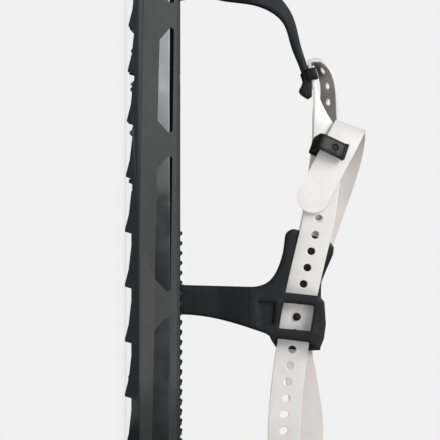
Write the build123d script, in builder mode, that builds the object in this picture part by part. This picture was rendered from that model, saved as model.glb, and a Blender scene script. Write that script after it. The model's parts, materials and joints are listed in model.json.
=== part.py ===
from build123d import *
import math
import os

# A trail snowshoe: two toothed rails bent to one outline, a deck between them, and a binding that
# pivots on a bar under the ball of the foot.
# +Z is up, +Y points to the toe and +X to the wearer's right. The origin is under the middle of
# the shoe, on the plane that the rail teeth stand on. Millimetres.

os.makedirs("parts", exist_ok=True)

# Outline seen from above
WIDTH = 200.0
TOE_START = 180.0
TOE_REACH = 138.0
TAIL_START = -130.0
TAIL_REACH = 188.0
BUILD_HEIGHT = 160.0

# Rails
RAIL_TOP = 34.0
RAIL_BASE = 4.0
RAIL_FACE = 0.8
RAIL_WALL = 2.4
FLANGE_HEIGHT = 5.0
LIP_HEIGHT = 1.8
ROCKER_START = -40.0
ROCKER_SLOPE = 0.0176
TOOTH_PITCH = 34.0
TOOTH_HEIGHT = 4.0
TOOTH_SLOPE = 24.5
FIRST_TOOTH = -240.0
WINDOWS = [(160.0, 102.0), (92.7, 21.8), (13.0, -76.8), (-87.4, -182.0), (-192.0, -270.0)]
WINDOW_SLANT = 10.5

# Deck
WRAP_OUTER = 3.0
WRAP_INNER = 4.6
WRAP_TOP = 33.0
DECK_INSET = 4.7
DECK_TOP = 30.0
DECK_THICK = 2.5
OPENING_HALF = 60.0
OPENING_REAR = 40.0
OPENING_FRONT = 180.0
OPENING_CORNER = 6.0
SLOT_LENGTH = 44.0
SLOT_WIDTH = 12.0
SLOT_PITCH = 36.0
SLOT_Y = -245.0
DECK_RISE_START = 204.0
GRIP_FRONT = -32.0
GRIP_REAR = -236.0
GRIP_PITCH = 6.2
GRIP_RADIUS = 1.4

# Pivot and crossbars
PIVOT_Y = 72.0
PIVOT_Z = 14.0
PIVOT_RADIUS = 4.0
RUNNING_FIT = 0.06
REAR_BAR_Y = -128.0
FRONT_BAR_Y = 188.0
BAR_FLANGE = 2.0
RIVET_RADIUS = 2.0

# Footbed and crampon
FOOTBED_HALF = 46.0
FOOTBED_REAR = -100.0
FOOTBED_FRONT = 135.0
FOOTBED_LOW = 30.2
FOOTBED_TOP = 33.6
CRAMPON_HALF = 44.0
CRAMPON_SHEET = 2.5

# Straps
STRAP_WIDTH = 20.0
STRAP_THICK = 2.0
STUD_RADIUS = 2.2


def rail_base(y):
    """Height of the rail's lower edge at y: flat at the back, rising gently to the toe."""
    return RAIL_BASE + ROCKER_SLOPE * max(0.0, y - ROCKER_START)


def window_top(y):
    return 29.3 + 0.013 * y


def window_bottom(y):
    return 19.9 + 0.018 * y


def seat_top(y):
    """Highest point on the rail's inner face, below the windows, where a bar may be fixed."""
    return window_bottom(y) - 1.5


def plan_outline(inset):
    """The shoe's outline from above, moved inwards by inset."""
    half = WIDTH / 2 - inset
    with BuildSketch() as outline:
        with BuildLine():
            EllipticalCenterArc((0, TOE_START), half, TOE_REACH - inset, 0, arc_size=180)
            Line((-half, TOE_START), (-half, TAIL_START))
            EllipticalCenterArc((0, TAIL_START), half, TAIL_REACH - inset, 180, arc_size=180)
            Line((half, TAIL_START), (half, TOE_START))
        make_face()
    return outline.sketch


def rail_side(raise_bottom, lower_top):
    """The rail's side view with its lower and upper edges moved towards each other."""
    top = RAIL_TOP - lower_top
    low = raise_bottom
    rocker_end = 130.0
    with BuildSketch() as side:
        with BuildLine():
            Spline((-320, top + 5), (-240, top), tangents=((1, -0.12), (1, 0)))
            Line((-240, top), (165, top))
            Spline((165, top), (245, top + 17), (320, top + 62), tangents=((1, 0), (1, 0.85)))
            Line((320, top + 62), (320, 72 + low))
            Spline((320, 72 + low), (235, 29 + low), (rocker_end, rail_base(rocker_end) + low),
                   tangents=((-1, -0.75), (-1, -ROCKER_SLOPE * 3)))
            Line((rocker_end, rail_base(rocker_end) + low), (ROCKER_START, RAIL_BASE + low))
            Line((ROCKER_START, RAIL_BASE + low), (-255, RAIL_BASE + low))
            Spline((-255, RAIL_BASE + low), (-320, 15 + low), tangents=((-1, 0), (-1, 0.3)))
            Line((-320, 15 + low), (-320, top + 5))
        make_face()
    return side.sketch


def tooth(tip_y, height, slope):
    """One tooth: a short face towards the tail and a long hollow slope towards the toe."""
    base = rail_base(tip_y)
    tip = base - height
    with BuildSketch() as shape:
        with BuildLine():
            Polyline((tip_y - 2.4, base + 1), (tip_y - 2.0, base), (tip_y - 0.8, tip),
                     (tip_y + 0.8, tip), (tip_y + 0.4 * slope, base - 0.42 * height),
                     (tip_y + slope, base), (tip_y + slope, base + 1), (tip_y - 2.4, base + 1))
        make_face()
    return shape.sketch


def window(front, rear):
    """One long opening with slanted ends."""
    with BuildSketch() as shape:
        Polygon((front, window_top(front)), (rear, window_top(rear)),
                (rear + WINDOW_SLANT, window_bottom(rear)),
                (front - WINDOW_SLANT, window_bottom(front)), align=None)
        fillet(shape.vertices(), radius=1.8)
    return shape.sketch


tooth_tips = [FIRST_TOOTH + TOOTH_PITCH * step for step in range(9)]
for closer_pitch in (31, 28, 25):
    tooth_tips.append(tooth_tips[-1] + closer_pitch)


def band_piece(outer_inset, inner_inset, side):
    """The left half of a strip between two insets of the outline, cut to a side view."""
    with BuildPart() as strip:
        with BuildSketch():
            add(plan_outline(outer_inset))
            add(plan_outline(inner_inset), mode=Mode.SUBTRACT)
            with Locations((-WIDTH, 0)):
                Rectangle(2 * WIDTH, 4 * WIDTH, mode=Mode.INTERSECT)
        extrude(amount=BUILD_HEIGHT)
        with BuildSketch(Plane.YZ):
            add(side)
        extrude(amount=WIDTH, both=True, mode=Mode.INTERSECT)
    return strip.part


def make_left_rail():
    """A toothed blade with a thinner face layer outside it, pierced by the windows."""
    with BuildSketch() as blade_side:
        add(rail_side(0, 0))
        for tip in tooth_tips:
            slope = TOOTH_SLOPE if tip < tooth_tips[-1] else 0.7 * TOOTH_SLOPE
            add(tooth(tip, TOOTH_HEIGHT, slope))
        for count, tip in enumerate(tooth_tips[7:11]):
            add(tooth(tip - 3.5 - 4.1 * count, 0.55 * TOOTH_HEIGHT, 5))
        for front, rear in WINDOWS:
            add(window(front, rear), mode=Mode.SUBTRACT)
    with BuildSketch() as face_side:
        add(rail_side(FLANGE_HEIGHT, LIP_HEIGHT))
        for front, rear in WINDOWS:
            add(window(front, rear), mode=Mode.SUBTRACT)
    with BuildPart() as rail:
        add(band_piece(RAIL_FACE, RAIL_WALL, blade_side.sketch))
        add(band_piece(0, RAIL_FACE, face_side.sketch))
    return rail.part


def mirrored(piece):
    with BuildPart() as twin:
        mirror(piece, about=Plane.YZ)
    return twin.part


def outline_plane(x, z, toe):
    """Plane on the outline at x, with its normal pointing out of the shoe."""
    reach = TOE_REACH if toe else TAIL_REACH
    start = TOE_START if toe else TAIL_START
    sign = 1 if toe else -1
    half = WIDTH / 2
    rise = reach * math.sqrt(1 - (x / half) ** 2)
    normal = Vector(x / half ** 2, sign * rise / reach ** 2, 0).normalized()
    return Plane(origin=(x, start + sign * rise, z), z_dir=normal)


TOE_SPLICE_Z = 83.0
TAIL_SPLICE_Z = 26.0
splice_planes = [outline_plane(x, TOE_SPLICE_Z, True) for x in (-36, -13, 13, 36)]
splice_planes += [outline_plane(x, TAIL_SPLICE_Z, False) for x in (-26, -12, 12, 26)]


def rivet(plane, grip, head_radius, head_height, upset_tail):
    """A rivet through grip millimetres below the plane: a domed head, and a flush or upset tail."""
    with BuildPart() as body:
        with BuildSketch(plane):
            Circle(RIVET_RADIUS)
        extrude(amount=-grip)
        with BuildSketch(plane):
            Circle(head_radius)
        extrude(amount=head_height, taper=35)
        if upset_tail:
            with BuildSketch(plane.offset(-grip)):
                Circle(head_radius)
            extrude(amount=-0.6 * head_height, taper=35)
    return body.part


def bored(piece, planes):
    """The piece with a rivet hole at each plane."""
    with BuildPart() as drilled:
        add(piece)
        for plane in planes:
            with Locations(plane.location):
                Cylinder(RIVET_RADIUS, 24, mode=Mode.SUBTRACT)
    return drilled.part


SPLICE_WALL = 2.0


def make_splice(side):
    """A curved plate behind the rails' joint, made as a half and its mirror image."""
    half = bored(band_piece(RAIL_WALL, RAIL_WALL + SPLICE_WALL, side), splice_planes)
    with BuildPart() as splice:
        add(half)
        mirror(half, about=Plane.YZ)
    return splice.part


# Rails, split at the nose and the tail
left_rail = bored(make_left_rail(), splice_planes)
right_rail = mirrored(left_rail)

with BuildSketch() as toe_splice_side:
    Polygon((290, 62), (290, 74), (TOE_START + TOE_REACH, 91), (TOE_START + TOE_REACH, 76), align=None)
toe_splice = make_splice(toe_splice_side.sketch)

with BuildSketch() as tail_splice_side:
    Polygon((-301, 17), (-301, 34), (-319, 35), (-319, 18), align=None)
tail_splice = make_splice(tail_splice_side.sketch)

with BuildPart() as splice_rivets:
    for place in splice_planes:
        add(rivet(place, RAIL_WALL + SPLICE_WALL, 3.4, 1.1, False))

# Glossy deck wrap that closes the windows from inside
with BuildSketch() as wrap_side:
    Polygon((170, window_bottom(170) - 1), (170, WRAP_TOP), (-285, WRAP_TOP),
            (-285, window_bottom(-285) - 1), align=None)
left_wrap = band_piece(WRAP_OUTER, WRAP_INNER, wrap_side.sketch)
right_wrap = mirrored(left_wrap)


def deck_line():
    """Middle of the deck seen from the side: flat, then up with the toe."""
    middle = DECK_TOP - DECK_THICK / 2
    with BuildLine() as line:
        Line((-312, middle), (DECK_RISE_START, middle))
        Spline((DECK_RISE_START, middle), (258, middle + 17), (312, middle + 50),
               tangents=((1, 0), (1, 0.75)))
    return line.line


DECK_RIVET_SPOTS = [(x, y) for y in (REAR_BAR_Y + 8, FRONT_BAR_Y + 8) for x in (-70, -30, 30, 70)]


def make_deck():
    with BuildPart() as plate:
        with BuildSketch():
            add(plan_outline(DECK_INSET))
            with Locations((0, (OPENING_REAR + OPENING_FRONT) / 2)):
                RectangleRounded(2 * OPENING_HALF, OPENING_FRONT - OPENING_REAR, OPENING_CORNER,
                                 mode=Mode.SUBTRACT)
            with Locations((0, SLOT_Y)):
                with GridLocations(SLOT_PITCH, 0, 3, 1):
                    SlotOverall(SLOT_LENGTH, SLOT_WIDTH, rotation=90, mode=Mode.SUBTRACT)
        extrude(amount=BUILD_HEIGHT)
        with BuildSketch(Plane.YZ):
            trace(deck_line(), line_width=DECK_THICK)
        extrude(amount=WIDTH, both=True, mode=Mode.INTERSECT)
        with Locations(*[(x, y, 0) for x, y in DECK_RIVET_SPOTS]):
            Cylinder(RIVET_RADIUS, 120, mode=Mode.SUBTRACT)
    return plate.part


deck = make_deck()

# Ribbed grip strips along the deck's edges, rear half only
with BuildSketch() as grip_side:
    grip_length = GRIP_FRONT - GRIP_REAR
    grip_middle = (GRIP_FRONT + GRIP_REAR) / 2
    with Locations((grip_middle, (DECK_TOP + RAIL_TOP) / 2)):
        Rectangle(grip_length, RAIL_TOP - DECK_TOP)
    with Locations((grip_middle, RAIL_TOP)):
        with GridLocations(GRIP_PITCH, 0, int(grip_length / GRIP_PITCH), 1):
            Circle(GRIP_RADIUS)
left_grip = band_piece(DECK_INSET, DECK_INSET + 6, grip_side.sketch)
right_grip = mirrored(left_grip)

# Heel pad on the deck, behind the footbed
HEEL_PAD_Y = -152.0
HEEL_PAD_TOP = 33.4
HEEL_PAD_RIB = 1.6
with BuildPart() as heel_pad:
    with BuildSketch(Plane.XY.offset(DECK_TOP)):
        with Locations((0, HEEL_PAD_Y)):
            RectangleRounded(82, 78, 14)
    extrude(amount=HEEL_PAD_TOP - HEEL_PAD_RIB - DECK_TOP)
    with BuildSketch(Plane.XY.offset(HEEL_PAD_TOP - HEEL_PAD_RIB)):
        with Locations((0, HEEL_PAD_Y)):
            with GridLocations(0, 9, 1, 8):
                SlotOverall(66, 4)
    extrude(amount=HEEL_PAD_RIB)
    with Locations(*[(x, y, DECK_TOP) for x, y in DECK_RIVET_SPOTS]):
        Cylinder(4.2, 20, mode=Mode.SUBTRACT)


def crossbar(y, web_low, teeth):
    """An angle bar between the rails: its web runs down and its flange lies under the deck."""
    flange_low = DECK_TOP - DECK_THICK - BAR_FLANGE
    seat = seat_top(y)
    with BuildPart() as bar:
        with BuildSketch():
            add(plan_outline(RAIL_WALL))
            with Locations((0, y)):
                Rectangle(WIDTH, 3, mode=Mode.INTERSECT)
        extrude(amount=BUILD_HEIGHT)
        with BuildSketch(Plane.XZ):
            Polygon((-WIDTH / 2, seat - 8), (-WIDTH / 2, seat), (-90, seat), (-84, flange_low),
                    (84, flange_low), (90, seat), (WIDTH / 2, seat), (WIDTH / 2, seat - 8),
                    (84, web_low), (-84, web_low), align=None)
            if teeth:
                with Locations((0, web_low)):
                    with GridLocations(18, 0, 9, 1):
                        Polygon((-7, 0), (-2, -8), (2, -8), (7, 0), align=None)
        extrude(amount=400, both=True, mode=Mode.INTERSECT)
        with BuildSketch(Plane.XY.offset(flange_low)):
            with Locations((0, y + 6)):
                RectangleRounded(168, 15, 3)
        extrude(amount=BAR_FLANGE)
        with Locations(*[(x, spot_y, flange_low) for x, spot_y in DECK_RIVET_SPOTS]):
            Cylinder(RIVET_RADIUS, 20, mode=Mode.SUBTRACT)
    return bar.part


rear_crossbar = crossbar(REAR_BAR_Y, 10, True)
front_crossbar = crossbar(FRONT_BAR_Y, 18, False)

with BuildPart() as deck_rivets:
    for spot_x, spot_y in DECK_RIVET_SPOTS:
        add(rivet(Plane.XY.offset(DECK_TOP).move(Location((spot_x, spot_y, 0))),
                  DECK_THICK + BAR_FLANGE, 3.6, 1.2, True))

# Pivot bar and the brackets that hold its ends
BRACKET_INNER = 84.0
with BuildPart() as left_bracket:
    with BuildSketch():
        add(plan_outline(RAIL_WALL))
        with Locations((-(BRACKET_INNER + WIDTH / 2) / 2, PIVOT_Y)):
            Rectangle(WIDTH / 2 - BRACKET_INNER, 26, mode=Mode.INTERSECT)
    extrude(amount=BUILD_HEIGHT)
    with BuildSketch(Plane.YZ):
        with Locations((PIVOT_Y, (seat_top(PIVOT_Y - 13) + 8) / 2)):
            RectangleRounded(26, seat_top(PIVOT_Y - 13) - 8, 3)
    extrude(amount=WIDTH, both=True, mode=Mode.INTERSECT)
    with Locations(Location((-92, PIVOT_Y, PIVOT_Z), (0, 90, 0))):
        Cylinder(PIVOT_RADIUS, 30, mode=Mode.SUBTRACT)
right_bracket = mirrored(left_bracket.part)

with BuildPart() as pivot_bar:
    with Locations(Location((0, PIVOT_Y, PIVOT_Z), (0, 90, 0))):
        Cylinder(PIVOT_RADIUS, 2 * (BRACKET_INNER + 11))
    chamfer(pivot_bar.edges().filter_by(GeomType.CIRCLE), length=0.6)

# Bushings that run on the bar and are pressed into the crampon
BUSH_RADIUS = 6.5
BUSH_FLANGE = 9.0
with BuildPart() as left_bushing:
    with Locations(Location((-CRAMPON_HALF + CRAMPON_SHEET / 2, PIVOT_Y, PIVOT_Z), (0, 90, 0))):
        Cylinder(BUSH_RADIUS, CRAMPON_SHEET + 4)
        with Locations((0, 0, -CRAMPON_SHEET / 2 - 1)):
            Cylinder(BUSH_FLANGE, 2)
        Cylinder(PIVOT_RADIUS + RUNNING_FIT, 40, mode=Mode.SUBTRACT)
right_bushing = mirrored(left_bushing.part)

# Binding rivets: (x, y) places through the footbed
CRAMPON_SPOTS = [(x, y) for x in (-24, 24) for y in (58, 112)]
TOE_ARM_Y = 120.0
REAR_ARM_Y = -79.0
ARM_SPOTS = [(x, y + step) for y in (TOE_ARM_Y, REAR_ARM_Y) for step in (-5, 5) for x in (-38, 38)]
ARM_FOOT = 3.0
BINDING_BASE = FOOTBED_LOW - CRAMPON_SHEET


def drill(spots):
    """Rivet holes straight down at the spots, through the part that is open."""
    with Locations(*[(x, y, FOOTBED_LOW) for x, y in spots]):
        Cylinder(RIVET_RADIUS, 30, mode=Mode.SUBTRACT)


def claw_side():
    """Side view of the crampon's cheek: a bay round the pivot and claws below."""
    with BuildSketch() as side:
        Polygon((48, BINDING_BASE + 1), (50, 10), (55, 3), (60, 8), (72, 3.4), (84, 8), (90, 2.5),
                (97, 11), (104, 9), (110, 2.5), (116, 11), (122, 10), (129, 3),
                (130, BINDING_BASE + 1), align=None)
        with Locations((106, 19)):
            SlotOverall(30, 7, mode=Mode.SUBTRACT)
    return side.sketch


with BuildPart() as toe_crampon:
    with BuildSketch(Plane.XY.offset(BINDING_BASE)):
        with Locations((0, 89)):
            RectangleRounded(2 * CRAMPON_HALF, 82, 3)
        with Locations((0, 86)):
            RectangleRounded(30, 34, 6, mode=Mode.SUBTRACT)
    extrude(amount=CRAMPON_SHEET)
    for side_x in (-CRAMPON_HALF, CRAMPON_HALF - CRAMPON_SHEET):
        with BuildSketch(Plane.YZ.offset(side_x)):
            add(claw_side())
        extrude(amount=CRAMPON_SHEET)
    with BuildSketch(Plane.XZ.offset(-130)):
        Polygon((-38, BINDING_BASE + 1), (-38, 17), (-30, 4), (-22, 17), (-8, 17), (0, 7), (8, 17),
                (22, 17), (30, 4), (38, 17), (38, BINDING_BASE + 1), align=None)
    extrude(amount=CRAMPON_SHEET)
    with Locations(Location((0, PIVOT_Y, PIVOT_Z), (0, 90, 0))):
        Cylinder(BUSH_RADIUS, 120, mode=Mode.SUBTRACT)
    drill(CRAMPON_SPOTS)
    drill(ARM_SPOTS)

with BuildPart() as footbed:
    with BuildSketch(Plane.XY.offset(FOOTBED_LOW)):
        with BuildLine():
            Polyline((-FOOTBED_HALF, -92), (-FOOTBED_HALF, -60), (-38, -40), (-38, 78),
                     (-FOOTBED_HALF, 98), (-FOOTBED_HALF, 120), (-34, FOOTBED_FRONT),
                     (34, FOOTBED_FRONT), (FOOTBED_HALF, 120), (FOOTBED_HALF, 98), (38, 78),
                     (38, -40), (FOOTBED_HALF, -60), (FOOTBED_HALF, -92), (36, FOOTBED_REAR),
                     (-36, FOOTBED_REAR), (-FOOTBED_HALF, -92))
        make_face()
        with GridLocations(0, 34, 1, 3):
            SlotOverall(46, 14, mode=Mode.SUBTRACT)
    extrude(amount=FOOTBED_TOP - FOOTBED_LOW)
    fillet(footbed.edges().filter_by(Axis.Z), radius=5)
    drill(CRAMPON_SPOTS)
    drill(ARM_SPOTS)

# Side strap edges seen from the side, from toe to heel
LOW_FRONT = [(31, 119.9), (14, 117.4), (-36, 108.5), (-103, 94.6)]
HIGH_FRONT = [(31, 125.5), (21, 128), (14, 136), (-36, 129), (-103, 115.2)]
NEAR_LOW = LOW_FRONT + [(-142, 90.3), (-172, 88.8), (-216, 97)]
NEAR_HIGH = HIGH_FRONT + [(-142, 110.5), (-172, 108.8), (-216, 117)]
FAR_LOW = LOW_FRONT + [(-122, 98.6), (-146, 103.6), (-174, 104.8), (-216, 97)]
FAR_HIGH = HIGH_FRONT + [(-122, 118.6), (-146, 123.6), (-174, 124.8), (-216, 117)]

# Rear arm: blade and back plate, with a frame buckle in front of the strap
ARM_BACK = -45.0
STRAP_BACK = -48.5
STRAP_FRONT = -54.5
ARM_FRONT = -58.0
STRAP_ROOM = 0.8


def strap_region(room, to_right):
    """Where the strap runs beside the arm, with room on each side; or all of it up to the far side."""
    high = 40 if to_right else room
    with BuildSketch() as region:
        Polygon((-20, 111.8 - room), (-36, 108.5 - room), (-103, 94.6 - room),
                (-125, 91.2 - room), (-125, 121 + high), (-103, 115.2 + high),
                (-36, 129 + high), (-20, 132 + high), align=None)
    return region.sketch


def arm_side():
    with BuildSketch() as side:
        with BuildLine():
            Line((-70.2, FOOTBED_TOP), (-71.4, 78))
            Spline((-71.4, 78), (-66, 91.6), (-52, 97.9), (-40, 99.7), tangents=((0, 1), (1, 0.1)))
            ThreePointArc((-40, 99.7), (-36, 102.5), (-36.1, 108.4))
            Polyline((-36.1, 108.4), (-42.9, 127.2), (-46.5, 130), (-51, 129.4), (-68, 122),
                     (-110.5, 121.5), (-111, 113), (-109, 94), (-104.5, 91), (-100.8, 89.3))
            Spline((-100.8, 89.3), (-91, 57.2), (-88.3, FOOTBED_TOP), tangents=((0.35, -1), (0, -1)))
            Line((-88.3, FOOTBED_TOP), (-70.2, FOOTBED_TOP))
        make_face()
    return side.sketch


def frame_outline():
    with BuildSketch() as side:
        Polygon((-73.8, 90), (-74.4, 99), (-76.8, 121), (-80.5, 124), (-94.3, 124.9), (-103.4, 123.7),
                (-110, 121), (-105.5, 113.5), (-103, 93), (-100.8, 88), align=None)
    return side.sketch


def frame_window():
    with BuildSketch() as side:
        Polygon((-80.8, 97.7), (-82.8, 117.6), (-98.7, 115.6), (-96.8, 95.7), align=None)
        fillet(side.vertices(), radius=1)
    return side.sketch


STUD_Y = -89.8
STUD_Z = 106.7
with BuildPart() as left_rear_arm:
    with BuildSketch(Plane.YZ.offset(ARM_FRONT)):
        add(arm_side())
        add(strap_region(STRAP_ROOM, True), mode=Mode.SUBTRACT)
        add(frame_outline())
        add(frame_window(), mode=Mode.SUBTRACT)
    extrude(amount=STRAP_FRONT - ARM_FRONT)
    with BuildSketch(Plane.YZ.offset(STRAP_FRONT)):
        add(arm_side())
        add(strap_region(STRAP_ROOM, True), mode=Mode.SUBTRACT)
        add(frame_outline())
        add(strap_region(STRAP_ROOM, False), mode=Mode.SUBTRACT)
    extrude(amount=STRAP_BACK - STRAP_FRONT)
    with BuildSketch(Plane.YZ.offset(STRAP_BACK)):
        add(arm_side())
    extrude(amount=ARM_BACK - STRAP_BACK)
    with BuildSketch(Plane.XZ):
        Polygon((-53.5, FOOTBED_TOP), (-54.5, 58), (ARM_FRONT, 78), (ARM_FRONT, 131), (ARM_BACK, 131),
                (ARM_BACK, 70), (-47, 56), (-47, FOOTBED_TOP), align=None)
    extrude(amount=200, both=True, mode=Mode.INTERSECT)
    with BuildSketch(Plane.XY.offset(FOOTBED_TOP)):
        with Locations((-41, REAR_ARM_Y)):
            Rectangle(24, 18)
    extrude(amount=ARM_FOOT)
    with BuildSketch(Plane.YZ.offset(ARM_FRONT)):
        Polygon((-79.6, 82.4), (-80.4, 93.5), (-94.2, 92.4), (-94.8, 83.6), align=None)
    extrude(amount=1.4, mode=Mode.SUBTRACT)
    drill(ARM_SPOTS)
    with Locations(Location((-48, STUD_Y, STUD_Z), (0, 90, 0))):
        Cylinder(STUD_RADIUS, 12, mode=Mode.SUBTRACT)
right_rear_arm = mirrored(left_rear_arm.part)

with BuildPart() as left_heel_stud:
    with Locations(Location((-48.6, STUD_Y, STUD_Z), (0, 90, 0))):
        Cylinder(STUD_RADIUS, 9.2)
    chamfer(left_heel_stud.edges().filter_by(GeomType.CIRCLE), length=0.5)
right_heel_stud = mirrored(left_heel_stud.part)


def toe_arm_side():
    with BuildSketch() as side:
        with BuildLine():
            Spline((108, FOOTBED_TOP), (110.5, 46), (108, 60), (104.6, 82), (93.6, 98.6), (78.6, 103.7),
                   (54, 109.7), (46, 114.2), tangents=((0.1, 1), (-0.5, 1)))
            Line((46, 114.2), (47.5, 116.3))
            Line((47.5, 116.3), (55.3, 116.3))
            Spline((55.3, 116.3), (78.6, 109.5), (98, 104.1), (113, 92), (128, 62), (132, FOOTBED_TOP),
                   tangents=((1, -0.15), (0, -1)))
            Line((132, FOOTBED_TOP), (108, FOOTBED_TOP))
        make_face()
    return side.sketch


TOE_STUD_Y = 61.0
TOE_STUD_Z = 114.6
TOE_TIP_X = -32.0
toe_stud_plane = Plane(origin=(TOE_TIP_X, TOE_STUD_Y, TOE_STUD_Z), x_dir=(1, 0, 0),
                       z_dir=(0, 0.28, 0.96))

with BuildPart() as left_toe_arm:
    with BuildSketch(Plane.YZ.offset(-60)):
        add(toe_arm_side())
    extrude(amount=60)
    with BuildSketch(Plane.XZ):
        with BuildLine():
            Spline((-53.5, FOOTBED_TOP), (-56, 60), (-53, 86), (-43, 104), tangents=((0, 1), (0.3, 1)))
            Polyline((-43, 104), (-42, 120), (-22, 120), (-22, 104))
            Spline((-22, 104), (-34, 97), (-45.5, 84), (-48.5, 60), (-47, FOOTBED_TOP),
                   tangents=((-0.6, -0.2), (0, -1)))
            Line((-47, FOOTBED_TOP), (-53.5, FOOTBED_TOP))
        make_face()
    extrude(amount=200, both=True, mode=Mode.INTERSECT)
    with BuildSketch(Plane.XY.offset(FOOTBED_TOP)):
        with Locations((-41, TOE_ARM_Y)):
            Rectangle(24, 22)
    extrude(amount=ARM_FOOT)
    drill(ARM_SPOTS)
    with BuildSketch(toe_stud_plane.offset(-15)):
        Circle(STUD_RADIUS)
    extrude(amount=30, mode=Mode.SUBTRACT)
right_toe_arm = mirrored(left_toe_arm.part)

# Toe stud: a pin through the strap's end, under a bridge whose cheeks close over the strap's edges
TOE_STUD_GRIP = 3.0
BRIDGE_LENGTH = 7.4
BRIDGE_WIDTH = 24.4
BRIDGE_WALL = 1.4
with BuildPart() as left_toe_stud:
    with BuildSketch(toe_stud_plane.offset(-5)):
        Circle(STUD_RADIUS)
    extrude(amount=5 + TOE_STUD_GRIP)
    with BuildSketch(toe_stud_plane.offset(TOE_STUD_GRIP)):
        Rectangle(BRIDGE_WIDTH, BRIDGE_LENGTH)
    extrude(amount=1.9)
    with BuildSketch(toe_stud_plane.offset(-2)):
        with GridLocations(BRIDGE_WIDTH - BRIDGE_WALL, 0, 2, 1):
            Rectangle(BRIDGE_WALL, BRIDGE_LENGTH)
    extrude(amount=2 + TOE_STUD_GRIP)
right_toe_stud = mirrored(left_toe_stud.part)

with BuildPart() as binding_rivets:
    for spot_x, spot_y in CRAMPON_SPOTS:
        add(rivet(Plane.XY.offset(FOOTBED_TOP).move(Location((spot_x, spot_y, 0))),
                  FOOTBED_TOP - BINDING_BASE, 3.4, 0.4, True))
    for spot_x, spot_y in ARM_SPOTS:
        low = BINDING_BASE if spot_y > 0 else FOOTBED_LOW
        add(rivet(Plane.XY.offset(FOOTBED_TOP + ARM_FOOT).move(Location((spot_x, spot_y, 0))),
                  FOOTBED_TOP + ARM_FOOT - low, 3.2, 0.9, False))


def strap_side(low_edge, high_edge):
    """Side view of a strap between its lower and upper edges."""
    with BuildSketch() as side:
        Polygon(*low_edge, *reversed(high_edge), align=None)
    return side.sketch


def strap_plan():
    """The side strap from above: along the ankle and round the heel to x = 0."""
    with BuildLine() as path:
        Spline((-39, 31), (-45.5, 0), (-50.4, -50), (-50.6, -115), (-47, -160), (-30, -199), (0, -212),
               tangents=((-0.2, -1), (1, 0)))
    return path.line


def strap_half(low_edge, high_edge):
    with BuildPart() as half:
        with BuildSketch(Plane.XY.offset(80)):
            trace(strap_plan(), line_width=STRAP_THICK)
        extrude(amount=70)
        with BuildSketch(Plane.YZ):
            add(strap_side(low_edge, high_edge))
        extrude(amount=100, both=True, mode=Mode.INTERSECT)
        with Locations(Location((-51, STUD_Y, STUD_Z), (0, 90, 0))):
            Cylinder(2.4, 12, mode=Mode.SUBTRACT)
    return half.part


def strap_tongue(flat_start, flat_end, bends):
    """The strap's end on the toe arm's tip: straight under the stud, then on in smooth arcs."""
    with BuildPart() as tongue:
        with BuildSketch(Plane.YZ.offset(TOE_TIP_X - STRAP_WIDTH / 2)):
            with BuildLine():
                run = Line(flat_start, flat_end)
                for bend in bends:
                    run = TangentArc(run @ 1, bend, tangent=run % 1)
            trace(line_width=STRAP_THICK)
        extrude(amount=STRAP_WIDTH)
        with BuildSketch(toe_stud_plane.offset(-15)):
            Circle(2.4)
        extrude(amount=19, mode=Mode.SUBTRACT)
    return tongue.part


near_tongue = strap_tongue((67, 114.75), (52, 118.4), [(28, 123.2)])
far_tongue = strap_tongue((52, 118.37), (64, 115.44), [(64.5, 129.6), (41, 128), (28, 123.2)])
with BuildPart() as side_strap:
    add(strap_half(NEAR_LOW, NEAR_HIGH))
    add(near_tongue)
    mirror(strap_half(FAR_LOW, FAR_HIGH), about=Plane.YZ)
    mirror(far_tongue, about=Plane.YZ)

# Instep strap: from the far rear arm over the instep, down to a rounded free tip
INSTEP_Z = 140.0
INSTEP_LEAN = (0, -0.33, 0.944)


def instep_half(side, points, straight_end):
    """Half of the strap from its plan path and its side view; its face leans as it crosses over."""
    drop = 60
    shift = -drop * INSTEP_LEAN[1] / INSTEP_LEAN[2]
    with BuildPart() as half:
        with BuildSketch(Plane.XY.offset(INSTEP_Z - drop)):
            with BuildLine():
                bend = Spline(*[(x, y + shift) for x, y in points], tangents=((-1, 0), (0, -1)))
                Line(bend @ 1, bend @ 1 + (0, -straight_end))
            trace(line_width=STRAP_THICK)
        extrude(amount=95, dir=INSTEP_LEAN)
        with BuildSketch(Plane.YZ):
            add(side)
        extrude(amount=100, both=True, mode=Mode.INTERSECT)
    return half.part


with BuildSketch() as free_end_side:
    with BuildLine():
        Line((40, 146.2), (-15, 117))
    trace(line_width=STRAP_WIDTH)
    with Locations((-15, 117)):
        Circle(STRAP_WIDTH / 2)
with BuildSketch() as far_leg_side:
    with BuildLine():
        Line((40, 143.2), (-99, 105.5))
    trace(line_width=STRAP_WIDTH - 1)

OVER_INSTEP = [(0, 28.6), (-34, 27.5), (-46.5, 16)]
near_leg = instep_half(free_end_side.sketch, OVER_INSTEP + [(-51, -4), (-54.2, -34)], 20)
far_leg = instep_half(far_leg_side.sketch, OVER_INSTEP + [(-51.5, -6), (-53.3, -60)], 60)
with BuildPart() as instep_strap:
    add(near_leg)
    mirror(far_leg, about=Plane.YZ)
    with Locations(Location((-STRAP_BACK + 5, STUD_Y, STUD_Z), (0, 90, 0))):
        Cylinder(2.4, 8, mode=Mode.SUBTRACT)

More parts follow.
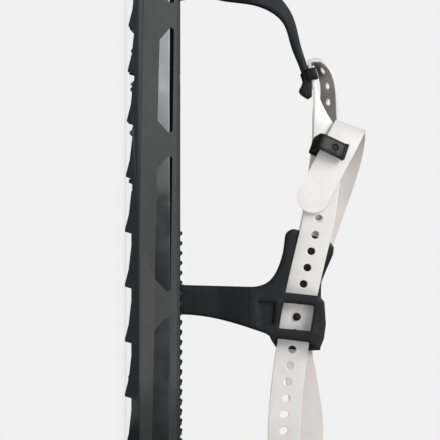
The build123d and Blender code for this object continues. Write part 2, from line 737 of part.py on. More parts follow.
# Keeper: a clip open on its upper side, round both straps
KEEPER_AXIS = Vector(0.19, 0.90, 0.385).normalized()
KEEPER_LENGTH = 9.5
keeper_plane = Plane(origin=(-44.8, 16.5, 127.5), x_dir=(0, -0.39, 0.92), z_dir=KEEPER_AXIS)
with BuildPart() as keeper:
    with BuildSketch(keeper_plane.offset(-KEEPER_LENGTH / 2)) as keeper_section:
        with BuildLine():
            Polyline((11.8, -8.2), (-13.4, -8.2), (-13.4, 7.0), (11.8, 7.0), (11.8, 5.2), (-11.6, 5.2),
                     (-11.6, -6.4), (10.4, -6.4), (10.4, -5.5), (11.8, -5.5), (11.8, -8.2))
        make_face()
        fillet(keeper_section.vertices().group_by(Axis.X)[0], radius=3)
    extrude(amount=KEEPER_LENGTH)

pieces = {
    "left_rail": left_rail,
    "right_rail": right_rail,
    "toe_splice": toe_splice,
    "tail_splice": tail_splice,
    "splice_rivets": splice_rivets.part,
    "left_deck_wrap": left_wrap,
    "right_deck_wrap": right_wrap,
    "deck": deck,
    "left_grip_strip": left_grip,
    "right_grip_strip": right_grip,
    "heel_pad": heel_pad.part,
    "front_crossbar": front_crossbar,
    "rear_crossbar": rear_crossbar,
    "deck_rivets": deck_rivets.part,
    "left_pivot_bracket": left_bracket.part,
    "right_pivot_bracket": right_bracket,
    "pivot_bar": pivot_bar.part,
    "left_bushing": left_bushing.part,
    "right_bushing": right_bushing,
    "toe_crampon": toe_crampon.part,
    "footbed": footbed.part,
    "left_toe_arm": left_toe_arm.part,
    "right_toe_arm": right_toe_arm,
    "left_rear_arm": left_rear_arm.part,
    "right_rear_arm": right_rear_arm,
    "left_toe_stud": left_toe_stud.part,
    "right_toe_stud": right_toe_stud,
    "left_heel_stud": left_heel_stud.part,
    "right_heel_stud": right_heel_stud,
    "binding_rivets": binding_rivets.part,
    "side_strap": side_strap.part,
    "instep_strap": instep_strap.part,
    "keeper": keeper.part,
}
for name, piece in pieces.items():
    piece.label = name
    export_step(piece, f"parts/{name}.step")
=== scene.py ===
import json
import math

import bpy
import numpy as np
from mathutils import Matrix, Vector


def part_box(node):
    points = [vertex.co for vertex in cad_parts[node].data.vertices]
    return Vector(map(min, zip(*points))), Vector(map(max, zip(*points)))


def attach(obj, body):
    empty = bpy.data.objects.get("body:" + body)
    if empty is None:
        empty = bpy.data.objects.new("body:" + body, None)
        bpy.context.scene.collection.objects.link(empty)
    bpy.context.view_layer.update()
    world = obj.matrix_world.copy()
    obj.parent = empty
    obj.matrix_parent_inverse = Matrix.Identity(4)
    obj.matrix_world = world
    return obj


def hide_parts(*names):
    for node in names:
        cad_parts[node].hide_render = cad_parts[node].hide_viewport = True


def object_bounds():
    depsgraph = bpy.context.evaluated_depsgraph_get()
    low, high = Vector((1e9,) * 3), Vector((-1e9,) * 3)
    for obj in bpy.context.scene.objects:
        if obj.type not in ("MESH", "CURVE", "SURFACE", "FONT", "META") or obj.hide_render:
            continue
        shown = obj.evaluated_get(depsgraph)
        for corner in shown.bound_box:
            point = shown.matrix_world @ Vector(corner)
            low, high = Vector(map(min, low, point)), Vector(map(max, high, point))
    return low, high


# A trail snowshoe seen from its left side, toe up. Metres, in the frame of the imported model:
# +Z up, +Y towards the toe, +X to the wearer's right.

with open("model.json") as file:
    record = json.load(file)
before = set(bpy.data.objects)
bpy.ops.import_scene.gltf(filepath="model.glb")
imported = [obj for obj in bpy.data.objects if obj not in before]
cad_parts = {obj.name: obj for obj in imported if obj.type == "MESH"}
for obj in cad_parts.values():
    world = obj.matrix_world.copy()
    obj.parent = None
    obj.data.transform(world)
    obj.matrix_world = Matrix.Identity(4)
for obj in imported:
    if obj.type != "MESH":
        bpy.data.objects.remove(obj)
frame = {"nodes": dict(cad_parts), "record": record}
cad_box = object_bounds()
scene = bpy.context.scene
MM = 0.001


def middle(node):
    """Middle of a CAD node's box."""
    low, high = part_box(node)
    return (low + high) / 2


def add_object(name, data):
    """An object that holds a mesh, light or camera, in the scene."""
    thing = bpy.data.objects.new(name, data)
    scene.collection.objects.link(thing)
    return thing


def add_mesh(name, points, faces):
    """An object with a new mesh of these points and faces."""
    mesh = bpy.data.meshes.new(name)
    mesh.from_pydata(points, [], faces)
    return add_object(name, mesh)


def soften(thing, width, segments, sharp_degrees):
    """Rounds the edges that turn by more than an angle."""
    bevel = thing.modifiers.new("bevel", "BEVEL")
    bevel.width = width
    bevel.segments = segments
    bevel.limit_method = "ANGLE"
    bevel.angle_limit = math.radians(sharp_degrees)


def flatten_shading(thing):
    """Lets the large faces set the shading of the small ones beside them."""
    thing.modifiers.new("normals", "WEIGHTED_NORMAL").keep_sharp = True


# ---------------------------------------------------------------- materials

# Heights on the rail and the wrap, in metres, between which one look turns into the next: painted
# shade on the rail's flange and lip, a painted glint and painted shadow on the wrap.
FLANGE_FADE = (0.0074, 0.0100)
LIP_FADE = (0.0318, 0.0326)
GLINT_FADE = (0.0268, 0.0273)
FOLD_SHADOW_FADE = (0.0274, 0.0278)
# From here forward the rail rises, so heights no longer tell its flange and lip.
TOE_RISE_FADE = (0.150, 0.170)

RAIL_DARK, RAIL_LIGHT = (0.142, 0.145, 0.146), (0.172, 0.175, 0.175)
RAIL_SHADE = (0.048, 0.051, 0.055)
RAIL_SCUFF = (0.15, 0.15, 0.145)
RAIL_WORN = (0.20, 0.20, 0.195)
STEEL_DARK, STEEL_LIGHT = (0.42, 0.43, 0.44), (0.56, 0.57, 0.58)
STEEL_WORN = (0.75, 0.76, 0.77)
WRAP_DARK, WRAP_LIGHT = (0.26, 0.275, 0.285), (0.30, 0.31, 0.32)
WRAP_GLINT = (0.40, 0.41, 0.42)
WRAP_FOLD_SHADOW = (0.004, 0.004, 0.005)
DECK_DARK, DECK_LIGHT = (0.018, 0.019, 0.021), (0.035, 0.036, 0.039)
DECK_DUST = (0.075, 0.073, 0.068)
MOULDING_TINT = (0.0125, 0.0145, 0.016)
CLIP_TINT = (0.010, 0.011, 0.012)
STRAP_TINT, STRAP_SHADE = (0.76, 0.752, 0.728), (0.705, 0.698, 0.674)
# The strap's inner side in painted shade: a darker, warmer copy of the strap colour.
SHADED_INSIDE_TINT, SHADED_INSIDE_DARK = (0.74, 0.705, 0.66), (0.68, 0.645, 0.60)

CLOUD = (0.35, 0.7)  # the part of a noise's range that shows as clouds
WORN = (0.53, 0.60)  # pointiness of an outer edge, from unworn to worn


def scaled(colour, factor):
    return tuple(factor * part for part in colour)


class Finish:
    """A procedural material: a Principled shader fed by noise, wear and grain nodes."""

    def __init__(self, name, roughness, metallic=0.0, specular=0.5):
        self.material = bpy.data.materials.new(name)
        self.material.use_nodes = True
        self.nodes = self.material.node_tree.nodes
        self.links = self.material.node_tree.links
        self.shader = self.nodes["Principled BSDF"]
        self.shader.inputs["Roughness"].default_value = roughness
        self.shader.inputs["Metallic"].default_value = metallic
        self.shader.inputs["Specular IOR Level"].default_value = specular
        self.place = self.nodes.new("ShaderNodeTexCoord").outputs["Object"]
        self.height = None

    def link(self, out, into):
        self.links.new(out, into)

    def stretched(self, scale):
        """Object coordinates multiplied by scale, for grain that runs one way."""
        mapping = self.nodes.new("ShaderNodeMapping")
        mapping.inputs["Scale"].default_value = scale
        self.link(self.place, mapping.inputs["Vector"])
        return mapping.outputs["Vector"]

    def noise(self, scale, detail=4.0, vector=None):
        node = self.nodes.new("ShaderNodeTexNoise")
        node.inputs["Scale"].default_value = scale
        node.inputs["Detail"].default_value = detail
        self.link(vector or self.place, node.inputs["Vector"])
        return node.outputs["Fac"]

    def coordinate(self, axis):
        split = self.nodes.new("ShaderNodeSeparateXYZ")
        self.link(self.place, split.inputs[0])
        return split.outputs[axis]

    def ramp(self, fac, span, values=(0.0, 1.0)):
        """Maps fac from the span to the values, smoothly."""
        node = self.nodes.new("ShaderNodeMapRange")
        node.interpolation_type = "SMOOTHSTEP"
        for name, value in zip(("From Min", "From Max", "To Min", "To Max"), (*span, *values)):
            node.inputs[name].default_value = value
        self.link(fac, node.inputs["Value"])
        return node.outputs["Result"]

    def math(self, kind, a, b):
        node = self.nodes.new("ShaderNodeMath")
        node.operation = kind
        for socket, value in zip(node.inputs, (a, b)):
            if isinstance(value, (int, float)):
                socket.default_value = value
            else:
                self.link(value, socket)
        return node.outputs["Value"]

    def mix(self, fac, first, second):
        """Colour between first and second; each is a colour or an output."""
        node = self.nodes.new("ShaderNodeMix")
        node.data_type = "RGBA"
        for socket, value in ((node.inputs[6], first), (node.inputs[7], second)):
            if isinstance(value, tuple):
                socket.default_value = (*value, 1)
            else:
                self.link(value, socket)
        self.link(fac, node.inputs[0])
        return node.outputs[2]

    def edges(self, strength):
        """The strength on worn outer edges, 0 elsewhere."""
        pointed = self.nodes.new("ShaderNodeNewGeometry").outputs["Pointiness"]
        return self.ramp(pointed, WORN, (0.0, strength))

    def colour(self, out):
        self.link(out, self.shader.inputs["Base Color"])

    def rough(self, out, low, high):
        """Roughness from low to high as the noise out rises."""
        self.link(self.ramp(out, (0.3, 0.7), (low, high)), self.shader.inputs["Roughness"])

    def bump(self, out, distance, strength):
        """Adds a relief of a depth in metres to those already there."""
        node = self.nodes.new("ShaderNodeBump")
        node.inputs["Strength"].default_value = strength
        node.inputs["Distance"].default_value = distance
        self.link(out, node.inputs["Height"])
        if self.height is not None:
            self.link(self.height, node.inputs["Normal"])
        self.height = node.outputs["Normal"]
        self.link(self.height, self.shader.inputs["Normal"])


def rail_finish():
    """Dark coated metal with painted shade on the toothed flange and the lip, and fine scuffs along
    it.
    """
    f = Finish("rail_finish", 0.4, metallic=0.9)
    height = f.coordinate("Z")
    # Painted shade: the toothed flange and the lip are darkened by height, except where the toe
    # rises.
    flange = f.ramp(height, FLANGE_FADE, (1.0, 0.0))
    lip = f.ramp(height, LIP_FADE, (0.0, 0.4))
    straight = f.ramp(f.coordinate("Y"), TOE_RISE_FADE, (1.0, 0.0))
    shaded = f.math("MULTIPLY", f.math("MAXIMUM", flange, lip), straight)
    base = f.mix(f.ramp(f.noise(14, 5), CLOUD), RAIL_DARK, RAIL_LIGHT)
    base = f.mix(shaded, base, RAIL_SHADE)
    scuffs = f.noise(120, 3, f.stretched((1, 0.06, 1)))
    base = f.mix(f.ramp(scuffs, (0.66, 0.8), (0.0, 0.35)), base, RAIL_SCUFF)
    f.colour(f.mix(f.edges(0.55), base, RAIL_WORN))
    f.rough(f.noise(30, 4), 0.34, 0.46)
    f.bump(f.noise(1500, 2), 0.00003, 0.5)
    return f.material


def steel_finish():
    """Brushed stainless sheet with worn brighter edges."""
    f = Finish("steel_finish", 0.35, metallic=1.0)
    brush = f.noise(260, 4, f.stretched((0.05, 1, 1)))
    base = f.mix(f.ramp(brush, (0.3, 0.7)), STEEL_DARK, STEEL_LIGHT)
    f.colour(f.mix(f.edges(0.7), base, STEEL_WORN))
    f.rough(f.noise(40, 4), 0.26, 0.42)
    f.bump(brush, 0.00006, 0.4)
    return f.material


def wrap_finish():
    """Glossy film behind the rail's windows: a thin painted glint, then painted dark shadow of a
    fold along its top.
    """
    f = Finish("wrap_finish", 0.1, metallic=1.0)
    base = f.mix(f.ramp(f.noise(9, 3), CLOUD), WRAP_DARK, WRAP_LIGHT)
    wander = f.ramp(f.noise(12, 1), (0.3, 0.7), (-0.0004, 0.0004))
    height = f.math("ADD", f.coordinate("Z"), wander)
    # Painted highlight in a thin band, then painted shadow above it.
    base = f.mix(f.ramp(height, GLINT_FADE), base, WRAP_GLINT)
    f.colour(f.mix(f.ramp(height, FOLD_SHADOW_FADE), base, WRAP_FOLD_SHADOW))
    f.rough(f.noise(60, 3), 0.07, 0.12)
    f.bump(f.noise(30, 2), 0.0002, 0.15)
    return f.material


def deck_finish():
    """Coated woven fabric: a fine plain weave under a dull skin."""
    f = Finish("deck_finish", 0.6)
    weaves = []
    for direction in ("X", "Y"):
        wave = f.nodes.new("ShaderNodeTexWave")
        wave.bands_direction = direction
        wave.inputs["Scale"].default_value = 260
        wave.inputs["Distortion"].default_value = 0.3
        f.link(f.place, wave.inputs["Vector"])
        weaves.append(wave.outputs["Fac"])
    weave = f.math("MULTIPLY", weaves[0], weaves[1])
    base = f.mix(f.ramp(weave, (0.0, 0.8)), DECK_DARK, DECK_LIGHT)
    dust = f.ramp(f.noise(22, 6), (0.55, 0.8), (0.0, 0.35))
    f.colour(f.mix(dust, base, DECK_DUST))
    f.rough(f.noise(18, 4), 0.52, 0.72)
    f.bump(weave, 0.00018, 0.6)
    return f.material


def moulding_finish(name, tint, low, high):
    """Black moulded rubbery plastic: fine spark grain, soft sheen, paler rubbed edges."""
    f = Finish(name, 0.5, specular=0.35)
    rounding = f.nodes.new("ShaderNodeBevel")
    rounding.samples = 6
    rounding.inputs["Radius"].default_value = 4 * MM
    f.height = rounding.outputs["Normal"]
    base = f.mix(f.ramp(f.noise(26, 5), CLOUD), scaled(tint, 0.72), tint)
    f.colour(f.mix(f.edges(0.5), base, scaled(tint, 2.6)))
    f.rough(f.noise(50, 4), low, high)
    f.bump(f.noise(1100, 2), 0.00005, 0.55)
    f.bump(f.noise(45, 3), 0.0002, 0.25)
    return f.material


def strap_finish(name, tint, shade):
    """Pale flexible strap plastic: slight clouding, grime in its pores, fine and broad waves."""
    f = Finish(name, 0.45)
    f.shader.inputs["Subsurface Weight"].default_value = 0.12
    f.shader.inputs["Subsurface Radius"].default_value = (0.002, 0.0016, 0.0012)
    base = f.mix(f.ramp(f.noise(55, 5), (0.35, 0.75)), shade, tint)
    grime = f.ramp(f.noise(210, 6), (0.62, 0.82), (0.0, 0.25))
    f.colour(f.mix(grime, base, scaled(shade, 0.72)))
    f.rough(f.noise(80, 4), 0.38, 0.55)
    f.bump(f.noise(900, 3), 0.00005, 0.5)
    f.bump(f.noise(70, 3), 0.00025, 0.3)
    return f.material


finishes = {
    "rail": rail_finish(),
    "steel": steel_finish(),
    "wrap": wrap_finish(),
    "deck": deck_finish(),
    "moulding": moulding_finish("moulding_finish", MOULDING_TINT, 0.42, 0.56),
    "clip": moulding_finish("clip_finish", CLIP_TINT, 0.46, 0.60),
    "strap": strap_finish("strap_finish", STRAP_TINT, STRAP_SHADE),
}
strap_inside_shaded = strap_finish("strap_inside_painted_shade", SHADED_INSIDE_TINT, SHADED_INSIDE_DARK)

# ---------------------------------------------------------------- carried-over CAD nodes

WELD_DISTANCE = 0.005 * MM
# Bevel widths in mm. The straps are rebuilt below, so they need none here.
BEVELS = {"rail": 0.30, "steel": 0.35, "wrap": 0.1, "deck": 0.4, "moulding": 0.9, "clip": 0.6}
slot_of = {row["node"]: row["material_slot"] for row in frame["record"]["subparts"]}
for name, node in frame["nodes"].items():
    look = slot_of[name]
    node.data.materials.clear()
    node.data.materials.append(finishes[look])
    node.modifiers.new("weld", "WELD").merge_threshold = WELD_DISTANCE
    if look in BEVELS:
        soften(node, BEVELS[look] * MM, segments=2, sharp_degrees=38)
    flatten_shading(node)

# ---------------------------------------------------------------- straps

STRAP_WIDTH = 20 * MM
STRAP_THICK = 2 * MM
HALF_WIDTH = STRAP_WIDTH / 2
HOLE_PITCH = 10.25 * MM
HOLE_RADIUS = 2.4 * MM
PATH_STEPS = 24  # points between two rows of a path
ACROSS, ALONG = 8, 4  # quads across the strap and along one cell
HOLE_RINGS = (0.0, 0.22, 0.55, 1.0)  # rings of points from a hole's edge to its cell's edge


def smooth_path(rows):
    """Dense rows along a curve through rows of place in mm and width direction."""
    rows = np.array(rows, float)
    rows[:, :3] *= MM
    ends = np.vstack([2 * rows[0] - rows[1], rows, 2 * rows[-1] - rows[-2]])
    dense = []
    for before, a, b, after in zip(ends, ends[1:], ends[2:], ends[3:]):
        square = 2 * before - 5 * a + 4 * b - after
        cube = 3 * a - before - 3 * b + after
        for t in np.linspace(0, 1, PATH_STEPS, endpoint=False):
            dense.append(0.5 * (2 * a + (b - before) * t + square * t ** 2 + cube * t ** 3))
    dense.append(rows[-1])
    return np.array(dense)


class Ribbon:
    """A strap's middle surface: a path with a width direction at each length along it."""

    def __init__(self, rows):
        dense = smooth_path(rows)
        self.points = dense[:, :3]
        steps = np.linalg.norm(np.diff(self.points, axis=0), axis=1)
        self.lengths = np.concatenate([[0], np.cumsum(steps)])
        tangents = np.gradient(self.points, self.lengths, axis=0)
        tangents /= np.linalg.norm(tangents, axis=1)[:, None]
        widths = dense[:, 3:] - tangents * np.sum(dense[:, 3:] * tangents, axis=1)[:, None]
        self.widths = widths / np.linalg.norm(widths, axis=1)[:, None]

    def at(self, length, across):
        """The point at a length along the strap and a distance across it from its middle."""
        point = [np.interp(length, self.lengths, self.points[:, k]) for k in range(3)]
        width = np.array([np.interp(length, self.lengths, self.widths[:, k]) for k in range(3)])
        return Vector(np.array(point) + across * width / np.linalg.norm(width))

    def nearest(self, place):
        """The length at which the strap's middle comes closest to a place."""
        gaps = np.linalg.norm(self.points - np.array(place), axis=1)
        return self.lengths[int(gaps.argmin())]


def rim_of_cell(start, end, half):
    """Points round a cell's edge, counted the same way as the points round its hole."""
    rim = [(start + (end - start) * i / ALONG, -half) for i in range(ALONG)]
    rim += [(end, -half + 2 * half * i / ACROSS) for i in range(ACROSS)]
    rim += [(end - (end - start) * i / ALONG, half) for i in range(ALONG)]
    rim += [(start, half - 2 * half * i / ACROSS) for i in range(ACROSS)]
    return rim


def cell_faces(start, end, hole, half_at):
    """Flat quads of one cell; hole is the length at the middle of its hole, or None."""
    if hole is None:
        lengths = [start + (end - start) * i / ALONG for i in range(ALONG + 1)]
        shares = [2 * j / ACROSS - 1 for j in range(ACROSS + 1)]
        grid = [[(length, half_at(length) * share) for share in shares] for length in lengths]
        return [(grid[i][j], grid[i + 1][j], grid[i + 1][j + 1], grid[i][j + 1])
                for i in range(ALONG) for j in range(ACROSS)]
    rim = rim_of_cell(start, end, half_at(hole))
    rings = []
    for share in HOLE_RINGS:
        ring = []
        for length, across in rim:
            angle = math.atan2(across, length - hole)
            u, v = hole + HOLE_RADIUS * math.cos(angle), HOLE_RADIUS * math.sin(angle)
            ring.append((u + (length - u) * share, v + (across - v) * share))
        rings.append(ring)
    count = len(rim)
    return [(inner[k], outer[k], outer[(k + 1) % count], inner[(k + 1) % count])
            for inner, outer in zip(rings, rings[1:]) for k in range(count)]


def make_strap(name, ribbon, cells, half_at, body):
    """A strap with thickness, soft edges and painted shade on its inner side, from flat cells on
    its ribbon.
    """
    points, faces = {}, []
    for start, end, hole in cells:
        for quad in cell_faces(start, end, hole, half_at):
            keys = [(round(length, 7), round(across, 7)) for length, across in quad]
            face = [points.setdefault(key, len(points)) for key in keys]
            if len(set(face)) > 2:
                faces.append(list(dict.fromkeys(face)))
    strap = add_mesh(name, [ribbon.at(*key) for key in points], faces)
    strap.data.shade_smooth()
    strap.data.materials.append(finishes["strap"])
    strap.data.materials.append(strap_inside_shaded)
    solid = strap.modifiers.new("thickness", "SOLIDIFY")
    solid.thickness = STRAP_THICK
    solid.offset = 0
    solid.use_even_offset = True
    # The inner side takes the second material, the painted-shade copy.
    solid.material_offset = 1
    solid.material_offset_rim = 0
    soften(strap, 0.45 * MM, segments=3, sharp_degrees=50)
    flatten_shading(strap)
    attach(strap, body)
    return strap


NEAR, FAR = -1, 1  # the photographed side of the shoe and the other one


def lean(degrees, which):
    """Width direction of the side strap on one side: 0 lies flat, 90 stands upright."""
    angle = math.radians(degrees)
    return (-which * math.cos(angle), 0, math.sin(angle))


near_toe, near_heel = middle("left_toe_stud") / MM, middle("left_heel_stud") / MM
far_heel = middle("right_heel_stud") / MM
tip = abs(near_toe.x)
ankle = abs(near_heel.x) + 2.0
UPRIGHT = (0, 0, 1)

near_rows = [
    (-tip, 67, 114.7, *lean(0, NEAR)), (-tip, 61, 116.1, *lean(0, NEAR)),
    (-tip, 53, 118.1, *lean(2, NEAR)), (-33, 45, 119.6, *lean(8, NEAR)),
    (-34.5, 37.5, 121.4, *lean(20, NEAR)), (-37.6, 28, 123.9, *lean(42, NEAR)),
    (-40.4, 20, 125.6, *lean(64, NEAR)), (-42.8, 12, 126, *lean(84, NEAR)),
    (-45.5, 0, 124.3, *UPRIGHT),
    (-48.6, -15, 122.4, *UPRIGHT), (-50, -29, 120.4, *UPRIGHT), (-50.4, -49, 115.7, *UPRIGHT),
    (-ankle, -69.5, 110.9, *UPRIGHT), (-ankle, near_heel.y, 106.8, *UPRIGHT),
    (-ankle, -111, 103.8, *UPRIGHT), (-49.8, -131, 101.1, *UPRIGHT), (-47, -160, 98.8, *UPRIGHT),
    (-39, -186, 99.9, *UPRIGHT), (-23, -204.5, 103.2, *UPRIGHT), (0, -211.5, 107, *UPRIGHT),
]
far_rows = [
    (23, -204.5, 110, *UPRIGHT), (39, -186, 112.8, *UPRIGHT), (47, -160, 114.2, *UPRIGHT),
    (49.8, -131, 110.6, *UPRIGHT), (ankle, -109, 106.6, *UPRIGHT),
    (ankle, far_heel.y, 107.4, *UPRIGHT), (ankle, -69.5, 111.6, *UPRIGHT),
    (50.4, -49, 116, *UPRIGHT), (50, -29, 120.2, *UPRIGHT), (48.6, -15, 122.4, *UPRIGHT),
    (45.5, 0, 124.4, *UPRIGHT), (42.5, 13, 126, *lean(82, FAR)), (38.6, 25, 126.4, *lean(56, FAR)),
    (35, 35, 126.8, *lean(38, FAR)), (33, 44.5, 127.4, *lean(30, FAR)),
    (tip, 54, 127.1, *lean(27, FAR)), (tip, 63, 124.7, *lean(24, FAR)),
    (tip, 69, 120.6, *lean(18, FAR)), (tip, 70.2, 116.6, -1, 0.22, 0),
    (tip, 66, 114.9, *lean(2, FAR)), (tip, 61, 115.9, *lean(0, FAR)),
    (tip, 52.5, 118, *lean(0, FAR)),
]
side = Ribbon(near_rows + far_rows)


def stations(ribbon, stops):
    """Hole middles about a pitch apart that also fall on every stop."""
    places = [ribbon.nearest(stops[0] * MM)]
    for stop in stops[1:]:
        here, there = places[-1], ribbon.nearest(stop * MM)
        count = max(1, round((there - here) / HOLE_PITCH))
        places += [here + (there - here) * i / count for i in range(1, count + 1)]
    return places


def strap_cells(places, start, end, keeps_hole):
    """Cells round the hole middles; keeps_hole says whether a middle is pierced."""
    cells = []
    for k, place in enumerate(places):
        low = start if k == 0 else (places[k - 1] + place) / 2
        high = end if k == len(places) - 1 else (place + places[k + 1]) / 2
        cells.append((low, high, place if keeps_hole(place) else None))
    return cells


def side_hole(length):
    """Pierced at the near toe stud, from the keeper round to the heel, and past the far buckle."""
    x, y, z = side.at(length, 0) / MM
    near = x < 0 and (-202 < y < -5 or y > 55)
    return near or (x > 0 and y > -100)


far_loop = Vector((tip, 44.5, 126.4))  # from here the strap loops round the far toe stud
side_places = stations(side, [near_toe, near_heel, far_heel, far_loop])
side_places += [side_places[-1] + k * HOLE_PITCH for k in (1, 2, 3)]
side_cells = strap_cells(side_places, 0, side.lengths[-1], side_hole)
side_strap = make_strap("side_strap_ribbon", side, side_cells, lambda length: HALF_WIDTH, "binding")
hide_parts("side_strap")

ACROSS_FOOT = (0, 0.33, -0.944)
ALONG_LEG = (0, 0.45, -0.893)
instep_rows = [
    (-53.4, -24, 112.2, *ALONG_LEG), (-52.9, -15, 117, *ALONG_LEG), (-51.6, -4, 122.9, *ALONG_LEG),
    (-49.4, 8, 129.2, *ALONG_LEG), (-46, 17, 134, *ALONG_LEG), (-40.5, 24.2, 137.8, *ACROSS_FOOT),
    (-31, 28, 139.8, *ACROSS_FOOT), (-14, 28.8, 140.3, *ACROSS_FOOT),
    (14, 28.8, 140.5, *ACROSS_FOOT), (31, 28, 140.6, *ACROSS_FOOT), (40.5, 24, 140.4, *ACROSS_FOOT),
    (46.5, 14.5, 139, *ALONG_LEG), (50, 2.7, 136, *ALONG_LEG), (52, -9, 132.2, *ALONG_LEG),
    (52.8, -20, 128.3, *ALONG_LEG), (53.2, -43, 120.4, *ALONG_LEG), (53.2, -70, 112.6, *ALONG_LEG),
    (53.2, far_heel.y, 107.2, *ALONG_LEG), (53.2, -98, 105, *ALONG_LEG),
]
instep = Ribbon(instep_rows)
TIP_CELLS = 6
PIERCED_FROM_BUCKLE = 12 * MM  # the instep strap has no holes farther up than this
OUTER_LAYER = Vector((2.4 * MM, 0, 0))  # from the far stud's middle to the instep strap's


def instep_half(length):
    """Half width: round at the free tip, full from there on."""
    if length >= HALF_WIDTH:
        return HALF_WIDTH
    return math.sqrt(max(0.0, HALF_WIDTH ** 2 - (HALF_WIDTH - length) ** 2))


def rounded_tip_cells():
    """Thin cells at the free tip, closer together towards its end."""
    cuts = [HALF_WIDTH * (1 - math.cos(math.pi / 2 * k / TIP_CELLS)) for k in range(TIP_CELLS + 1)]
    return [(low, high, None) for low, high in zip(cuts, cuts[1:])]


def instep_hole(length):
    return length > heel_hole - PIERCED_FROM_BUCKLE


heel_hole = instep.nearest(far_heel * MM + OUTER_LAYER)
pitches = round((heel_hole - 1.5 * HOLE_PITCH - HALF_WIDTH) / HOLE_PITCH)
first_place = heel_hole - pitches * HOLE_PITCH
leg_places = [first_place + k * HOLE_PITCH for k in range(pitches + 1)]
leg_cells = strap_cells(leg_places, HALF_WIDTH, instep.lengths[-1], instep_hole)
instep_cells = rounded_tip_cells() + leg_cells
instep_strap = make_strap("instep_strap_ribbon", instep, instep_cells, instep_half, "binding")
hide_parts("instep_strap")

# ---------------------------------------------------------------- keeper clip

# Directions of the clip: away from the foot, across the straps, and along them.
OUTWARD = Vector((-0.9, 0.23, 0.37)).normalized()
CLIP_WIDTH = Vector((0.255, -0.409, 0.876)).normalized()
CLIP_AXIS = OUTWARD.cross(CLIP_WIDTH)
CLIP_HALF = 5.2  # half its length along the straps, in mm as the rest of the clip
FRONT_FACE = 8.2
LIP = FRONT_FACE + 1
CLIP_SECTION = [  # (across the straps, outward, corner radius)
    (6.2, LIP, 0.6), (4.2, LIP, 0.4), (4.2, FRONT_FACE, 0), (-13.4, FRONT_FACE, 4),
    (-13.4, -7, 3), (11, -7, 0), (11, -5.2, 0), (-11.6, -5.2, 1.5), (-11.6, 6.4, 2.4),
    (4.4, 6.4, 0), (4.4, 5.2, 0), (6.2, 5.2, 0),
]
CORNER_STEPS = (0, 0.2, 0.4, 0.6, 0.8, 1)
RING_PLACE = -1.8
RING_RADIUS = 1.7
RING_WIRE = 0.35
RING_TURNS, RING_SIDES = 24, 6


def rounded(corners):
    """The closed outline through (u, v, radius) corners, with curved corners."""
    outline = []
    for k, (u, v, radius) in enumerate(corners):
        here = Vector((u, v))
        if radius == 0:
            outline.append(here)
            continue
        before = (Vector(corners[k - 1][:2]) - here).normalized() * radius
        after = (Vector(corners[(k + 1) % len(corners)][:2]) - here).normalized() * radius
        for t in CORNER_STEPS:
            outline.append(here + before * (1 - t) ** 2 + after * t ** 2)
    return outline


clip_middle = middle("keeper") / MM + Vector((-2.2, -3.6, 2.4))


def on_clip(width, outward, along):
    """A point of the clip, in metres, from its own three directions."""
    return (clip_middle + CLIP_WIDTH * width + OUTWARD * outward + CLIP_AXIS * along) * MM


outline = rounded(CLIP_SECTION)
count = len(outline)
clip_points = [on_clip(u, v, end) for end in (-CLIP_HALF, CLIP_HALF) for u, v in outline]
clip_faces = [(k, (k + 1) % count, count + (k + 1) % count, count + k) for k in range(count)]
clip_faces += [tuple(reversed(range(count))), tuple(range(count, 2 * count))]
for k in range(RING_TURNS):
    turn = math.tau * k / RING_TURNS
    here = 2 * count + RING_SIDES * k
    there = 2 * count + RING_SIDES * ((k + 1) % RING_TURNS)
    for j in range(RING_SIDES):
        bend = math.tau * j / RING_SIDES
        reach = RING_RADIUS + RING_WIRE * math.cos(bend)
        clip_points.append(on_clip(RING_PLACE + reach * math.cos(turn),
                                   FRONT_FACE + RING_WIRE * math.sin(bend),
                                   reach * math.sin(turn)))
        following = (j + 1) % RING_SIDES
        clip_faces.append((here + j, there + j, there + following, here + following))
clip = add_mesh("keeper_clip", clip_points, clip_faces)
clip.data.materials.append(finishes["clip"])
clip.data.shade_smooth()
soften(clip, 0.35 * MM, segments=2, sharp_degrees=50)
flatten_shading(clip)
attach(clip, "keeper")
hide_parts("keeper")

# ---------------------------------------------------------------- light, floor and camera

PALE = (0.878, 0.878, 0.878)
FLOOR_RADIUS = 1.1
FLOOR_SIDES = 64
FLOOR_GAP = 0.2 * MM
FLOOR_GLOW = 0.835
SURROUND = (0.9, 0.95, 1)
SURROUND_STRENGTH = 0.07
EYE = Vector((-12.0, -0.0295, 0.059))
LENS = 1571  # in mm: seen from this far, the lines of the shoe stay parallel as in the photo
SENSOR_WIDTH = 36

turns = [math.tau * k / FLOOR_SIDES for k in range(FLOOR_SIDES)]
floor_points = [(FLOOR_RADIUS * math.cos(turn), FLOOR_RADIUS * math.sin(turn), 0) for turn in turns]
floor = add_mesh("floor", floor_points, [tuple(range(FLOOR_SIDES))])
floor.location.z = cad_box[0][2] - FLOOR_GAP
# The floor glows for the camera and for diffuse light only, so that it leaves no pale
# reflection in the rail and the wrap.
ground = Finish("floor_finish", 0.9)
ground.shader.inputs["Base Color"].default_value = (0.10, 0.10, 0.10, 1)
ground.shader.inputs["Specular IOR Level"].default_value = 0
ground.shader.inputs["Emission Color"].default_value = (*PALE, 1)
paths = ground.nodes.new("ShaderNodeLightPath").outputs
glowing = ground.math("MAXIMUM", paths["Is Camera Ray"], paths["Is Diffuse Ray"])
ground.link(ground.math("MULTIPLY", glowing, FLOOR_GLOW), ground.shader.inputs["Emission Strength"])
floor.data.materials.append(ground.material)

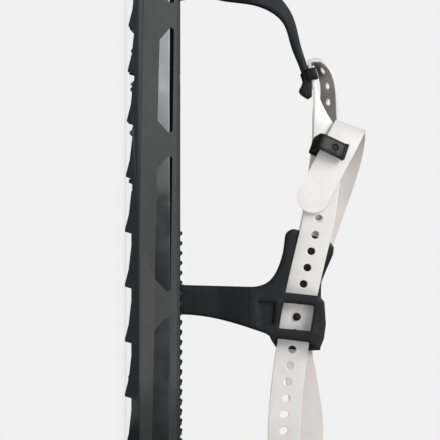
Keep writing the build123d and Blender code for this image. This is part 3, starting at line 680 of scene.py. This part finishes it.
world = bpy.data.worlds.new("studio")
scene.world = world
world.use_nodes = True
sky = world.node_tree
backdrop = sky.nodes["Background"]
backdrop.inputs["Color"].default_value = (*PALE, 1)
surround = sky.nodes.new("ShaderNodeBackground")
surround.inputs["Color"].default_value = (*SURROUND, 1)
surround.inputs["Strength"].default_value = SURROUND_STRENGTH
seen = sky.nodes.new("ShaderNodeLightPath").outputs["Is Camera Ray"]
mixed = sky.nodes.new("ShaderNodeMixShader")
sky.links.new(seen, mixed.inputs[0])
sky.links.new(surround.outputs[0], mixed.inputs[1])
sky.links.new(backdrop.outputs[0], mixed.inputs[2])
sky.links.new(mixed.outputs[0], sky.nodes["World Output"].inputs["Surface"])


def softbox(name, place, aim, size, watts, tint=(1, 1, 1)):
    """A rectangular lamp that the camera doesn't see."""
    light = bpy.data.lights.new(name, "AREA")
    light.shape = "RECTANGLE"
    light.size, light.size_y = size
    light.energy = watts
    light.color = tint
    lamp = add_object(name, light)
    lamp.location = place
    lamp.visible_camera = False
    lamp.rotation_euler = (Vector(aim) - Vector(place)).to_track_quat("-Z", "Y").to_euler()
    return lamp


# The two panels stand square to the rail: the wrap and the blade mirror them.
softbox("toe_panel", (-2.45, 0.885, 0.10), (0, 0.885, 0.10), (1.7, 1.7), 14, (1, 0.99, 0.97))
softbox("mid_panel", (-2.45, 0.0, 0.10), (0, 0.0, 0.10), (1.2, 0.1), 0.12, (0.85, 0.95, 1))
softbox("key", (-1.2, 1.2, 1.7), (0, 0, 0.08), (1.4, 1.4), 54)
fill = softbox("fill", (-1.5, -1.3, 1.3), (0, 0, 0.1), (1.2, 1.2), 19)
fill.visible_glossy = False
softbox("rear", (1.6, 0.6, 1.5), (0, 0, 0.08), (1.4, 1.4), 26)

camera_data = bpy.data.cameras.new("camera")
camera_data.lens = LENS
camera_data.sensor_width = SENSOR_WIDTH
camera_data.clip_end = 200
camera = add_object("camera", camera_data)
towards_viewer = Vector((-1, 0, 0))
page_up = Vector((0, 1, 0))
page_right = page_up.cross(towards_viewer)
turned = Matrix((page_right, page_up, towards_viewer)).transposed().to_4x4()
camera.matrix_world = Matrix.Translation(EYE) @ turned
scene.camera = camera
scene.view_settings.view_transform = "Standard"
